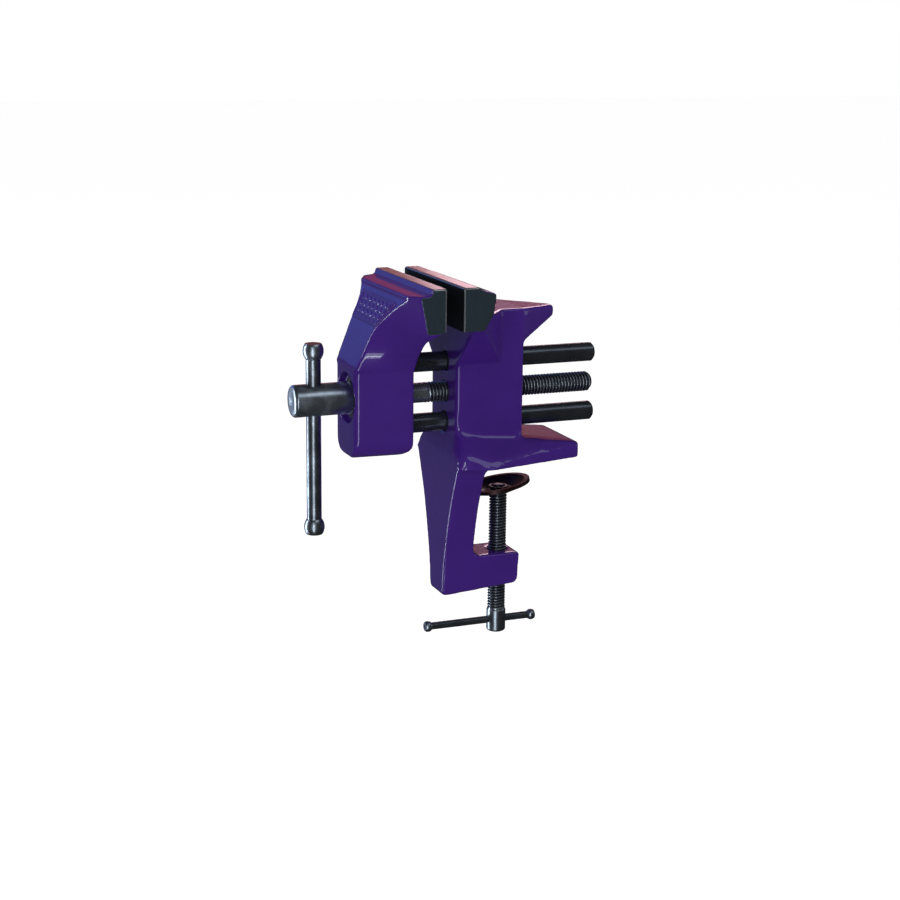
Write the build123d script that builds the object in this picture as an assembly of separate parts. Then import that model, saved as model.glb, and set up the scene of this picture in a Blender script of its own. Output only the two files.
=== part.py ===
"""Small bench vise with a built-in bench clamp, modelled piece by piece.

Frame: millimetres, +Z up.  The origin is on the bench seat (underside of the base plate) on the axis of the
clamp screw.  +X points to the rear, where the guide rods stick out, and -X to the handle.  The vise is
symmetric about the plane Y = 0, apart from its pins and its grub screw.
"""
from build123d import *
import os

os.makedirs("parts", exist_ok=True)

# ---------------------------------------------------------------- overall sizes
jaw_width = 75.0           # across the jaws, along Y
jaw_height = 20.0          # depth of the ground gripping faces
jaw_gap = 8.0              # opening between the jaws as stored
jaw_top_z = 85.0           # top of the jaws above the bench seat
jaw_face_x = -34.0         # gripping face of the fixed jaw

# ---------------------------------------------------------------- guide rods and main screw
screw_z = 31.8             # main screw axis above the seat
rod_spacing = 14.2         # main screw axis to each guide rod axis
rod_d = 9.0
rod_rear_x = 47.3          # free ends of the rods, jaws as stored
rod_end_chamfer = 1.0
rod_seat_depth = 20.5      # rod inside the moving jaw
screw_d = 9.525            # 3/8 in. thread, major diameter
screw_rear_x = 46.2
screw_point = 1.6          # chamfer of the free end
shank_d = 9.3              # plain shank in front of the thread
thread_start_gap = 12.0    # plain shank showing behind the moving jaw
head_d = 14.8
head_length = 28.2
head_edge = 1.0
head_centre_hole_d = 3.0
head_centre_hole_depth = 4.0
handle_from_end = 10.6     # handle hole axis from the outer end of the head
running_clearance = 0.05   # radial, rods in the body, handle bars in their heads and the screw shank
thread_clearance = 0.08    # radial, thread envelope in its tapped hole

# ---------------------------------------------------------------- handle bar of the main screw
handle_d = 6.8
handle_top_z = 57.6        # end of the upper knob as stored
handle_length = 88.2       # over the knobs
knob_d = 9.4
knob_length = 7.2
knob_spigot_d = 4.6        # turned-down bar end riveted into the knob

# ---------------------------------------------------------------- screw retention in the moving jaw
spot_d = 23.0              # spot face for the screw head
spot_depth = 3.8
washer_d = 18.0
washer_t = 1.2
rear_bore_d = 16.0         # counterbore that hides the retaining pin
rear_bore_depth = 5.2
rear_washer_d = 15.4
retaining_pin_d = 2.5
retaining_pin_length = 14.0
axial_play = 0.1

# ---------------------------------------------------------------- moving jaw casting
strip_w = 6.7              # ground strip along the top of the moving jaw
ledge_drop = 2.6           # ledge below the ground strip
ledge_front = 16.4         # gripping face to the ledge's lip
ledge_slope = 0.9
block_end_depth = 12.6     # gripping face to the front of the block's ends, at the ledge
block_end_foot = 9.0       # the same at the foot of the block's ends
slope_bulge_depth = 26.3   # gripping face to the middle of the sloping front, which bows forward
slope_bulge_drop = 19.8    # that point below the jaw's top
slope_bow_r = 30.0
nose_depth = 34.2          # gripping face to the front of the lower box
nose_drop = 38.5           # where the sloping front meets the lower box, below the jaw's top
box_rear_set_back = 7.5    # gripping face to the rear of the lower box
box_bottom_z = 5.6         # at the rear of the lower box
box_front_bottom_z = 4.7
box_half_rear = 18.5
box_half_front = 13.2
box_bottom_round = 10.0
rod_pin_d = 3.0
rod_pin_length = 20.0
rod_pin_recess = 0.4
rod_pin_set_back = 12.0    # rod pin axis in front of the lower box's rear face

# The moving jaw's flares beside its block: (drop below the jaw's top, half-width where they meet the front)
flare_creases = [(9.6, 22.6), (15.0, 19.0), (20.0, 16.4)]
# and below it: (share of the way from the block's foot to the nose, share of the block's overhang left,
# half-width where they meet the front)
flare_foot = [(0.378, 0.574, 15.3), (0.703, 0.216, 14.9), (1.027, 0.0, 14.0)]
flare_top_inset = 6.5      # the flare's crease in from the block's end, at the ledge

# ---------------------------------------------------------------- fixed body casting
fixed_strip_w = 7.5        # ground strip along the top of the fixed jaw
fixed_block_depth = 16.0   # gripping face to the rear lip of the fixed jaw
fixed_lip_drop = 4.0
fixed_block_foot = 10.0
body_front_set_back = 5.7  # gripping face to the front of the body
body_rear_x = 5.2
body_half = 16.0
anvil_drop = 14.0          # anvil top below the top of the jaws
anvil_tip_drop = 1.2       # the tongue falls away slightly to its tip
anvil_tip_x = 25.8
anvil_tip_half = 2.6
anvil_tip_t = 5.0          # thickness of the anvil at its tip
anvil_depth = 16.4         # at the body
gusset_rear_x = -6.0       # where the flare behind the fixed jaw runs out
body_gusset_drop = 19.0    # height of the flare below the fixed jaw
plate_t = 7.3
plate_rear_x = 32.6
plate_half_front = 27.0
plate_half_mid = 32.0
plate_mid_x = -16.5
plate_half_rear = 20.4
plate_corner_r = 5.0
plate_edge_t = 2.4         # upright edge of the plate below its sloping sides
skirt_top_front = 17.5     # top of the plate's sloping sides at the front,
skirt_top_mid = 12.6       # and where the plate is widest
skirt_half = 17.2
front_lip_z = 5.0          # the leg's front leans back above this
leg_front_set_back = 3.0   # leg front ahead of the body front
leg_rear_top_x = -17.2
leg_rear_foot_x = -16.6
leg_fillet = 5.0
arm_fillet = 4.0
arm_top_z = -46.5
arm_bottom_z = -62.4
leg_bottom_z = -65.4
arm_end_x = 7.6
# The leg's front outline below the seat: (drop, half-width)
leg_widths = [(10.0, 21.6), (21.0, 17.4), (37.0, 12.8), (52.0, 9.6), (66.4, 8.4)]
edge_r = 1.6               # soft cast edges
nut_d = 16.0
nut_length = 18.0
grub_d = 4.0
grub_socket_d = 2.2

# ---------------------------------------------------------------- bench clamp
clamp_d = 8.5              # major diameter of the thread
clamp_head_d = 9.2
clamp_head_top_z = -76.4
clamp_head_length = 11.4
clamp_bar_d = 3.5
clamp_bar_front_x = -36.8
clamp_bar_length = 56.7
clamp_knob_d = 5.2
clamp_knob_length = 3.4
clamp_knob_spigot_d = 2.4
pad_pivot_z = -18.0
pad_d = 31.4
pad_rim_w = 2.4
pad_rim_t = 1.6
pad_height = 3.7           # rim plane above the pivot
pad_web_t = 1.2
pad_floor_d = 13.0
pad_hole_d = 6.0
pad_tilt = 11.0            # degrees, the loose pad has tipped onto its stop
pad_turn = -22.0           # degrees about Z, the direction that the pad has tipped in
stud_d = 5.0
pad_play = 1.5             # web centre to the screw's shoulder and to the washer
pad_washer_d = 9.0
pad_washer_t = 0.8
stud_head_d = 6.6
stud_head_t = 0.8

# ---------------------------------------------------------------- places worked out from the sizes
moving_face_x = jaw_face_x - jaw_gap
jaw_foot_z = jaw_top_z - jaw_height
half_jaw = jaw_width / 2
nose_z = jaw_top_z - nose_drop
anvil_top_z = jaw_top_z - anvil_drop
anvil_keel_z = anvil_top_z - anvil_depth
body_gusset_z = jaw_foot_z - body_gusset_drop
box_rear_x = moving_face_x - box_rear_set_back
nose_x = moving_face_x - nose_depth
spot_x = nose_x + spot_depth
body_front_x = jaw_face_x + body_front_set_back
leg_front_x = body_front_x - leg_front_set_back
rod_front_x = box_rear_x - rod_seat_depth
upper_rod_z = screw_z + rod_spacing
lower_rod_z = screw_z - rod_spacing
head_rear_x = spot_x - washer_t - axial_play
head_front_x = head_rear_x - head_length
handle_x = head_front_x + handle_from_end
rear_washer_x = box_rear_x - rear_bore_depth
retaining_pin_x = rear_washer_x + washer_t + axial_play + retaining_pin_d / 2
thread_start_x = box_rear_x + thread_start_gap


# ---------------------------------------------------------------- helpers
def outline(points):
    """Closed flat outline from (u, v, corner radius) points, in a sketch plane's own axes."""
    sketch = make_face(Polyline([(u, v) for u, v, r in points], close=True))
    for u, v, r in points:
        if r > 0:
            corner = sketch.vertices().sort_by_distance((u, v, 0))[0]
            sketch = fillet(corner, r)
    return sketch


def side_prism(points, half):
    """A side view (x, z) carried half the width each way along Y."""
    return extrude(Plane.XZ * outline(points), amount=half, both=True)


def front_prism(points, x_low, x_high):
    """A front view (y, z) carried from x_low to x_high."""
    return extrude(Plane.YZ.offset(x_low) * outline(points), amount=x_high - x_low)


def plan_prism(points, z_low, z_high):
    """A plan view (x, y) carried from z_low to z_high."""
    return extrude(Plane.XY.offset(z_low) * outline(points), amount=z_high - z_low)


def mirrored(half_points):
    """A front or plan outline from its +Y half, given as (y, v, r) from one end to the other."""
    return half_points + [(-y, v, r) for y, v, r in reversed(half_points)]


def mirrored_plan(half_points):
    """A plan outline from its +Y half, given as (x, y, r)."""
    return half_points + [(x, -y, r) for x, y, r in reversed(half_points)]


def rod_x(diameter, x_low, x_high, z, y=0.0):
    """A round bar along X."""
    return Plane.YZ.offset(x_low) * Pos(y, z) * extrude(Circle(diameter / 2), amount=x_high - x_low)


def rod_y(diameter, y_low, y_high, x, z):
    """A round bar along Y."""
    bar = extrude(Circle(diameter / 2), amount=y_high - y_low)
    return Pos(x, y_low, z) * Rot(X=-90) * bar


def rod_z(diameter, z_low, z_high, x=0.0, y=0.0):
    """A round bar along Z."""
    return Pos(x, y, z_low) * extrude(Circle(diameter / 2), amount=z_high - z_low)


def washer_on_x(outer, inner, x_low, thickness, z):
    """A flat washer round an axis along X."""
    return rod_x(outer, x_low, x_low + thickness, z) - rod_x(inner, x_low, x_low + thickness, z)


# ---------------------------------------------------------------- castings
def fixed_jaw_block():
    """The wide fixed jaw: ground front and top, a lip behind and a sloping back."""
    x = jaw_face_x
    top = jaw_top_z
    return side_prism([
        (x, jaw_foot_z, 0), (x, top, 0), (x + fixed_strip_w, top, 0.3),
        (x + fixed_strip_w + 1.2, top - 1.2, 0.8),
        (x + fixed_block_depth, top - fixed_lip_drop + 1.0, 1.0),
        (x + fixed_block_depth - 1.4, top - 0.6 * jaw_height, 2.0),
        (x + fixed_block_foot, jaw_foot_z, 2.0),
    ], half_jaw)


def body_gusset():
    """The flare that carries the wide jaw down to the narrow body: a front view crossed with a plan."""
    front = front_prism(mirrored([
        (body_half - 0.5, body_gusset_z, 0), (half_jaw - edge_r, jaw_foot_z + 0.5, 0),
        (half_jaw - edge_r, anvil_top_z, 0),
    ]), body_front_x, gusset_rear_x + 2)
    plan = plan_prism(mirrored_plan([
        (body_front_x, half_jaw, 0), (jaw_face_x + fixed_block_foot, half_jaw, 0),
        (gusset_rear_x, body_half - 0.5, 0),
    ]), body_gusset_z - 1, anvil_top_z)
    return front & plan


def anvil():
    """The pointed anvil tongue behind the body: a side view crossed with a tapering plan."""
    tip_z = anvil_top_z - anvil_tip_drop
    side = side_prism([
        (body_front_x + 4, anvil_top_z, 0), (body_rear_x - 2, anvil_top_z, 0), (anvil_tip_x, tip_z, 0.8),
        (anvil_tip_x, tip_z - anvil_tip_t, 1.0), (body_rear_x - 2, anvil_keel_z, 0),
        (body_front_x + 4, anvil_keel_z, 0),
    ], body_half)
    plan = plan_prism(mirrored_plan([
        (body_front_x + 3, body_half - 0.6, 0), (body_rear_x, body_half - 0.6, 4.0),
        (anvil_tip_x, anvil_tip_half, 1.5),
    ]), anvil_keel_z - 1, anvil_top_z + 1)
    return side & plan


def section_x(x, half_points):
    """A cross-section face at x from its +Y half, given as (y, z)."""
    points = half_points + [(-y, z) for y, z in reversed(half_points)]
    return Plane.YZ.offset(x) * make_face(Polyline(points, close=True))


def base_plate():
    """The seat plate with sides that slope up to the body, ruled between three cross-sections."""
    front = section_x(leg_front_x, [
        (body_half + 0.3, skirt_top_front), (plate_half_front - 0.8, skirt_top_front / 2.6),
        (plate_half_front, 0)])
    middle = section_x(plate_mid_x, [
        (skirt_half, skirt_top_mid), (plate_half_mid - 0.8, plate_edge_t), (plate_half_mid, 0)])
    rear = section_x(plate_rear_x, [
        (plate_half_rear - 1.0, plate_t), (plate_half_rear, plate_t - 1.0), (plate_half_rear, 0)])
    plate = loft([front, middle], ruled=True) + loft([middle, rear], ruled=True)
    corners = plan_prism(mirrored_plan([
        (leg_front_x, half_jaw, 0), (plate_rear_x - 2 * plate_corner_r, half_jaw, 0),
        (plate_rear_x - 2 * plate_corner_r, plate_half_rear + 5, 0),
        (plate_rear_x, plate_half_rear - 0.2, plate_corner_r),
    ]), -1, skirt_top_front + 1)
    lean = side_prism([
        (leg_front_x, -1, 0), (leg_front_x, front_lip_z, 2.0),
        (body_front_x - 0.2, skirt_top_mid + 1.0, 1.0), (body_front_x - 0.2, skirt_top_front + 1, 0),
        (plate_rear_x, skirt_top_front + 1, 0), (plate_rear_x, -1, 0),
    ], half_jaw)
    return plate & corners & lean


def leg_and_arm():
    """Front leg and lower arm in one: a C in side view, crossed with the leg's curved front outline."""
    top = plate_edge_t
    side = side_prism([
        (leg_front_x, leg_bottom_z, 2.0), (leg_front_x, top, 0), (leg_rear_top_x + leg_fillet + 1.0, top, 0),
        (leg_rear_top_x + leg_fillet + 1.0, 0, 0), (leg_rear_top_x, 0, leg_fillet),
        (leg_rear_foot_x, arm_top_z, arm_fillet), (arm_end_x, arm_top_z, 1.5), (arm_end_x, arm_bottom_z, 3.0),
    ], half_jaw)
    right = Spline([(plate_half_front, top)] + [(half, -drop) for drop, half in leg_widths])
    left = mirror(right, Plane.YZ)
    front = make_face([right, Line(right @ 1, left @ 1), left, Line(right @ 0, left @ 0)])
    return side & extrude(Plane.YZ.offset(leg_front_x - 1) * front, amount=arm_end_x - leg_front_x + 2)


def fixed_body():
    """The fixed casting with its rod bores, nut seat, clamp thread and grub screw hole."""
    core = Pos((body_front_x + body_rear_x) / 2, 0, plate_edge_t) * extrude(
        Rectangle(body_rear_x - body_front_x, 2 * body_half), amount=anvil_top_z - plate_edge_t)
    core = fillet(core.edges().filter_by(Axis.Z), edge_r)
    body = leg_and_arm() + base_plate() + core + body_gusset() + anvil() + fixed_jaw_block()
    for z in (upper_rod_z, lower_rod_z):
        body -= rod_x(rod_d + 2 * running_clearance, jaw_face_x - 1, plate_rear_x, z)
    body -= rod_x(screw_d + 2 * thread_clearance, jaw_face_x - 1, plate_rear_x, screw_z)
    body -= rod_x(nut_d, body_rear_x - nut_length, body_rear_x + 1, screw_z)
    body -= rod_y(grub_d, 0, body_half + 1, body_rear_x - nut_length / 2, screw_z)
    body -= rod_z(clamp_d + 2 * thread_clearance, leg_bottom_z, arm_top_z + 1)
    return body


def flare_section(drop, outer, crease):
    """Plan outline of the moving jaw at one level, reaching past the front so that the side view trims it."""
    x = moving_face_x
    down = min(max((drop - ledge_drop) / (jaw_height - ledge_drop), 0), 1)
    corner = x - block_end_depth + down * (block_end_depth - block_end_foot)
    meet = front_x(drop)
    reach = 4.0
    narrow = (outer - crease) / (corner - meet) * reach if drop < jaw_height else 0.8
    half_points = [(x + 1, outer), (corner, outer), (meet, crease), (meet - reach, crease - narrow)]
    points = half_points + [(u, -v) for u, v in reversed(half_points)]
    return Plane.XY.offset(jaw_top_z - drop) * make_face(Polyline(points, close=True))


def front_x(drop):
    """Place of the sloping front at a level, by straight steps over its bowed outline."""
    steps = [(ledge_drop + ledge_slope, ledge_front), (slope_bulge_drop, slope_bulge_depth - 0.7),
             (nose_drop, nose_depth)]
    for (low, near), (high, far) in zip(steps, steps[1:]):
        if drop <= high:
            return moving_face_x - near - (far - near) * max(drop - low, 0) / (high - low)
    return nose_x


def jaw_profile():
    """Side view of the moving jaw: strip, riser, ledge and lip, bowed front, nose, lower box."""
    x = moving_face_x
    top = jaw_top_z
    return [
        (x, jaw_foot_z, 0), (x, top, 0), (x - strip_w, top, 0.3),
        (x - strip_w - 0.6, top - ledge_drop, 0.5), (x - ledge_front, top - ledge_drop - ledge_slope, 0.8),
        (x - ledge_front + 0.3, top - ledge_drop - ledge_slope - 2.0, 0.8),
        (x - slope_bulge_depth, top - slope_bulge_drop, slope_bow_r), (nose_x, nose_z, 3.0),
        (nose_x, box_front_bottom_z, 2.0), (box_rear_x, box_bottom_z, 6.0),
        (box_rear_x, jaw_foot_z - 4.0, 3.0), (x - 2.0, jaw_foot_z, 0.0),
    ]


def flare_levels():
    """The flares level by level: (drop, half-width at the block's outer corner, half-width at the front)."""
    top_crease = half_jaw - flare_top_inset
    levels = [(-1.0, half_jaw, top_crease), (ledge_drop, half_jaw, top_crease)]
    levels += [(drop * jaw_height / flare_creases[-1][0], half_jaw, crease) for drop, crease in flare_creases]
    for share, overhang, crease in flare_foot:
        outer = box_half_rear + overhang * (half_jaw - box_half_rear)
        levels.append((jaw_height + share * (nose_drop - jaw_height), outer, crease))
    return levels


def box_section(x, half, bottom_z, top_z):
    """Cross-section of the lower box at x, its lower corners rounded."""
    return Plane.YZ.offset(x) * outline(mirrored([(half, bottom_z, box_bottom_round), (half, top_z, 0)]))


def moving_jaw():
    """The moving casting: ground jaw with a ledge, a sloping front with two flares, and the lower box."""
    levels = flare_levels()
    flares = loft([flare_section(*level) for level in levels], ruled=True)
    upper = flares & side_prism(jaw_profile(), half_jaw + 1)
    box_top_z = jaw_top_z - levels[-1][0] + 4
    lower_plan = plan_prism(mirrored_plan([
        (box_rear_x, box_half_rear, 1.5), (nose_x, box_half_front, 2.5),
    ]), box_front_bottom_z - 1, box_top_z)
    lower = side_prism(jaw_profile(), half_jaw + 1) & lower_plan & loft([
        box_section(nose_x, box_half_front, box_front_bottom_z, box_top_z),
        box_section(box_rear_x, box_half_rear, box_bottom_z, box_top_z),
    ], ruled=True)
    jaw = upper + lower
    for z in (upper_rod_z, lower_rod_z):
        jaw -= rod_x(rod_d, rod_front_x, box_rear_x + 1, z)
        jaw -= rod_y(rod_pin_d, pin_top_y() - rod_pin_length, box_half_rear + 2, pin_x(), z)
    jaw -= rod_x(shank_d + 2 * running_clearance, nose_x - 1, box_rear_x + 1, screw_z)
    jaw -= rod_x(spot_d, nose_x - 5, spot_x, screw_z)
    jaw -= rod_x(rear_bore_d, rear_washer_x, box_rear_x + 1, screw_z)
    return jaw


def pin_x():
    """Place of the pins that lock the guide rods."""
    return box_rear_x - rod_pin_set_back


def pin_top_y():
    """Outer end of the rod pins, just below the surface of the tapering box side."""
    slope = (box_half_rear - box_half_front) / (box_rear_x - nose_x)
    return box_half_rear - slope * rod_pin_set_back - rod_pin_recess


# ---------------------------------------------------------------- turned and small pieces
def guide_rod(z):
    """A round bar, cross-drilled for its pin."""
    bar = rod_x(rod_d, rod_front_x, rod_rear_x, z)
    bar = chamfer(bar.edges(), rod_end_chamfer)
    return bar - rod_y(rod_pin_d, pin_top_y() - rod_pin_length, box_half_rear + 2, pin_x(), z)


def rod_pins():
    """The two plain pins that hold the guide rods in the moving jaw."""
    pins = [rod_y(rod_pin_d, pin_top_y() - rod_pin_length, pin_top_y(), pin_x(), z)
            for z in (lower_rod_z, upper_rod_z)]
    return Compound(children=[pin.solid() for pin in pins])


def main_screw():
    """Screw turned in one piece with its cylindrical head, drilled across for the handle bar."""
    head = rod_x(head_d, head_front_x, head_rear_x, screw_z)
    head = chamfer(head.edges(), head_edge)
    shank = rod_x(shank_d, head_rear_x - 1, thread_start_x, screw_z)
    thread = rod_x(screw_d, thread_start_x, screw_rear_x, screw_z)
    thread = chamfer(thread.edges().sort_by(Axis.X)[-1], screw_point)
    screw = head + shank + thread
    screw -= rod_z(handle_d + 2 * running_clearance, screw_z - head_d, screw_z + head_d, handle_x)
    screw -= rod_x(head_centre_hole_d, head_front_x - 1, head_front_x + head_centre_hole_depth, screw_z)
    return screw - rod_y(retaining_pin_d, -head_d, head_d, retaining_pin_x, screw_z)


def turned(points, axis_plane):
    """A solid of revolution from (radius, height) points about the plane's normal."""
    profile = make_face(Polyline([(r, h) for r, h in points], close=True))
    return axis_plane * revolve(Plane.XZ * profile, Axis.Z)


def knob(diameter, length, neck, spigot, plane):
    """A riveted-on bar end: barrel-shaped, wider than the bar, bored for the bar's spigot."""
    r = diameter / 2
    bulge = ThreePointArc((neck / 2, 0), (r, 0.45 * length), (0.8 * r, length))
    profile = make_face([bulge, Line((0.8 * r, length), (spigot / 2, length)),
                         Line((spigot / 2, length), (spigot / 2, 0)), Line((spigot / 2, 0), (neck / 2, 0))])
    return plane * revolve(Plane.XZ * profile, Axis.Z)


def handle_bar():
    """Tommy bar of the main screw with a spigot at each end."""
    low = handle_top_z - handle_length
    bar = rod_z(handle_d, low + knob_length, handle_top_z - knob_length, handle_x)
    return bar + rod_z(knob_spigot_d, low, handle_top_z, handle_x)


def clamp_bar():
    """Tommy bar of the clamp screw with a spigot at each end."""
    front = clamp_bar_front_x
    rear = front + clamp_bar_length
    z = clamp_head_top_z - clamp_head_length / 2
    bar = rod_x(clamp_bar_d, front + clamp_knob_length, rear - clamp_knob_length, z)
    return bar + rod_x(clamp_knob_spigot_d, front, rear, z)


def clamp_screw():
    """Clamp screw: drilled head below, thread, and a riveted stud that carries the pad."""
    bottom = clamp_head_top_z - clamp_head_length
    head = chamfer(rod_z(clamp_head_d, bottom, clamp_head_top_z).edges(), 0.6)
    shoulder = pad_pivot_z - pad_play
    rivet = pad_pivot_z + pad_play + pad_washer_t
    screw = head + rod_z(clamp_d, clamp_head_top_z - 1, shoulder)
    screw += rod_z(stud_d, shoulder - 1, rivet + 0.01)
    screw += chamfer(rod_z(stud_head_d, rivet, rivet + stud_head_t).edges().sort_by(Axis.Z)[-1], 0.6)
    z = clamp_head_top_z - clamp_head_length / 2
    return screw - rod_x(clamp_bar_d + 2 * running_clearance, -clamp_head_d, clamp_head_d, z)


def pad_washer():
    """Loose washer under the riveted stud; it keeps the pad on."""
    low = pad_pivot_z + pad_play
    ring = rod_z(pad_washer_d, low, low + pad_washer_t)
    return ring - rod_z(stud_d + 2 * running_clearance, low, low + pad_washer_t)


def clamp_pad():
    """Dished round pad, loose on the stud and tipped over to its stop."""
    web = pad_web_t / 2
    rim = pad_d / 2
    pad = turned([
        (pad_hole_d / 2, -web), (pad_floor_d / 2 + 1.0, -web), (rim, pad_height - pad_rim_t),
        (rim, pad_height), (rim - pad_rim_w, pad_height), (pad_floor_d / 2, web), (pad_hole_d / 2, web),
    ], Plane.XY)
    return Pos(0, 0, pad_pivot_z) * Rot(Z=pad_turn) * Rot(Y=-pad_tilt) * pad


def nut_grub_screw():
    """Socket grub screw that locks the nut, just below the body's side."""
    x = body_rear_x - nut_length / 2
    screw = rod_y(grub_d, nut_d / 2, body_half - 0.6, x, screw_z)
    return screw - rod_y(grub_socket_d, body_half - 2.4, body_half, x, screw_z)


def main_nut():
    """Threaded bush pressed into the rear of the body."""
    nut = rod_x(nut_d, body_rear_x - nut_length, body_rear_x, screw_z)
    return nut - rod_x(screw_d + 2 * thread_clearance, body_rear_x - nut_length, body_rear_x, screw_z)


handle_low_z = handle_top_z - handle_length
clamp_bar_z = clamp_head_top_z - clamp_head_length / 2
clamp_bar_rear_x = clamp_bar_front_x + clamp_bar_length

pieces = {
    "fixed_body": fixed_body(),
    "main_nut": main_nut(),
    "nut_grub_screw": nut_grub_screw(),
    "moving_jaw": moving_jaw(),
    "upper_guide_rod": guide_rod(upper_rod_z),
    "lower_guide_rod": guide_rod(lower_rod_z),
    "rod_pins": rod_pins(),
    "thrust_washer": washer_on_x(washer_d, shank_d + 2 * running_clearance, spot_x - washer_t, washer_t,
                                 screw_z),
    "retaining_washer": washer_on_x(rear_washer_d, shank_d + 2 * running_clearance, rear_washer_x, washer_t,
                                    screw_z),
    "main_screw": main_screw(),
    "retaining_pin": rod_y(retaining_pin_d, -retaining_pin_length / 2, retaining_pin_length / 2,
                           retaining_pin_x, screw_z),
    "handle_bar": handle_bar(),
    "handle_knob_upper": knob(knob_d, knob_length, handle_d, knob_spigot_d,
                              Plane((handle_x, 0, handle_top_z - knob_length))),
    "handle_knob_lower": knob(knob_d, knob_length, handle_d, knob_spigot_d,
                              Plane((handle_x, 0, handle_low_z + knob_length), z_dir=(0, 0, -1))),
    "clamp_screw": clamp_screw(),
    "clamp_handle_bar": clamp_bar(),
    "clamp_handle_knob_front": knob(clamp_knob_d, clamp_knob_length, clamp_bar_d, clamp_knob_spigot_d,
                                    Plane((clamp_bar_front_x + clamp_knob_length, 0, clamp_bar_z),
                                          x_dir=(0, 1, 0), z_dir=(-1, 0, 0))),
    "clamp_handle_knob_rear": knob(clamp_knob_d, clamp_knob_length, clamp_bar_d, clamp_knob_spigot_d,
                                   Plane((clamp_bar_rear_x - clamp_knob_length, 0, clamp_bar_z),
                                         x_dir=(0, 1, 0), z_dir=(1, 0, 0))),
    "clamp_pad": clamp_pad(),
    "pad_washer": pad_washer(),
}

for name, shape in pieces.items():
    export_step(shape, f"parts/{name}.step")
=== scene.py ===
"""Clamp-on bench vise: enamelled castings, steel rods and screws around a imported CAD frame.

Lengths in the settings are millimetres; the scene is in metres.  +Z is up, +X the free ends of the rods,
-X the handle.  The origin is on the bench seat on the axis of the clamp screw.
"""
from math import cos, pi, radians, sin

import bpy
import numpy as np
from mathutils import Matrix, Vector


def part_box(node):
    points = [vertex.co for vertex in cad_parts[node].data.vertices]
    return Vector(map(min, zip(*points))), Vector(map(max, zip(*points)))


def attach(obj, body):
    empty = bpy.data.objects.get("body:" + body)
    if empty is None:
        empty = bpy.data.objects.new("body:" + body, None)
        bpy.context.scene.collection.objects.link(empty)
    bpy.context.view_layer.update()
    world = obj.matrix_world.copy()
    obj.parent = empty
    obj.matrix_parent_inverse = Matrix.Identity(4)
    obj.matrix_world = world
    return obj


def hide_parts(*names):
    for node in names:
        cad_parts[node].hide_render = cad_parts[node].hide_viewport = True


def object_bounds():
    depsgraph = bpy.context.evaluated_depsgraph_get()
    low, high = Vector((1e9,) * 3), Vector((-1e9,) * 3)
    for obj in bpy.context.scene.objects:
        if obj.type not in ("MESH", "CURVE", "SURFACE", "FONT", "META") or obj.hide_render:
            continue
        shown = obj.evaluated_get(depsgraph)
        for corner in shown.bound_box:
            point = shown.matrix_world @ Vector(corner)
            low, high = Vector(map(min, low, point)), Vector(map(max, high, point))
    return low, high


bl_info = {
    "name": "Clamp-on bench vise",
    "version": (1, 0, 0),
    "blender": (4, 5, 0),
    "location": "View3D > Sidebar > Vise",
    "description": "Builds the finished surfaces of a small bench vise around its CAD frame",
    "category": "Add Mesh",
}

MM = 0.001
SEAM = 0.002        # points closer than this, in millimetres, are one point
TURN_STEPS = 14     # cells along one pitch of a thread
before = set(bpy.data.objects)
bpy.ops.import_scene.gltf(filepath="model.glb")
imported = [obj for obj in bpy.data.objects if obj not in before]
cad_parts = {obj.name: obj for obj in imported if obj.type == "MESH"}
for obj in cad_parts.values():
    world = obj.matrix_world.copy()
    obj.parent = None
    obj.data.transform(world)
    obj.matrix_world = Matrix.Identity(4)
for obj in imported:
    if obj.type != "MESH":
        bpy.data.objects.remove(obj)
cad_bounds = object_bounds()


def low(node):
    """A CAD node's lowest corner, in millimetres."""
    return np.array(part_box(node)[0]) / MM


def high(node):
    """A CAD node's highest corner, in millimetres."""
    return np.array(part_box(node)[1]) / MM


def middle(node):
    """The middle of a CAD node's box, in millimetres."""
    return (low(node) + high(node)) / 2


# -------------------------------------------------------------------------------------------- settings
def length(label, default, text):
    """A length property in millimetres."""
    return bpy.props.FloatProperty(name=label, description=text, default=default, unit="NONE", precision=3)


def colour(label, default, text):
    """A linear colour property."""
    return bpy.props.FloatVectorProperty(name=label, description=text, default=default, subtype="COLOR",
                                         size=3, min=0.0, max=1.0)


class CastingSettings(bpy.types.PropertyGroup):
    """Sizes and colours of the two enamelled castings."""
    body_cell: length("Body cell", 0.78, "Size of the surface cells of the fixed casting, in millimetres")
    jaw_cell: length("Jaw cell", 0.56, "Size of the surface cells of the moving casting, in millimetres")
    body_rounds: bpy.props.IntProperty(name="Body softening", default=7, min=0,
                                       description="How often the fixed casting's edges are softened")
    jaw_rounds: bpy.props.IntProperty(name="Jaw softening", default=6, min=0,
                                      description="How often the moving casting's edges are softened")
    skirt_rounds: bpy.props.IntProperty(name="Skirt softening", default=70, min=0,
                                        description="Extra softening of the sloping sides of the seat plate")
    unevenness: length("Unevenness", 0.05, "How far the sand-cast surface wanders, in millimetres")
    enamel: colour("Enamel", (0.050, 0.0125, 0.205), "Violet gloss enamel")
    ground: colour("Ground iron", (0.70, 0.69, 0.69), "Ground cast iron on the jaws")


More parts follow.
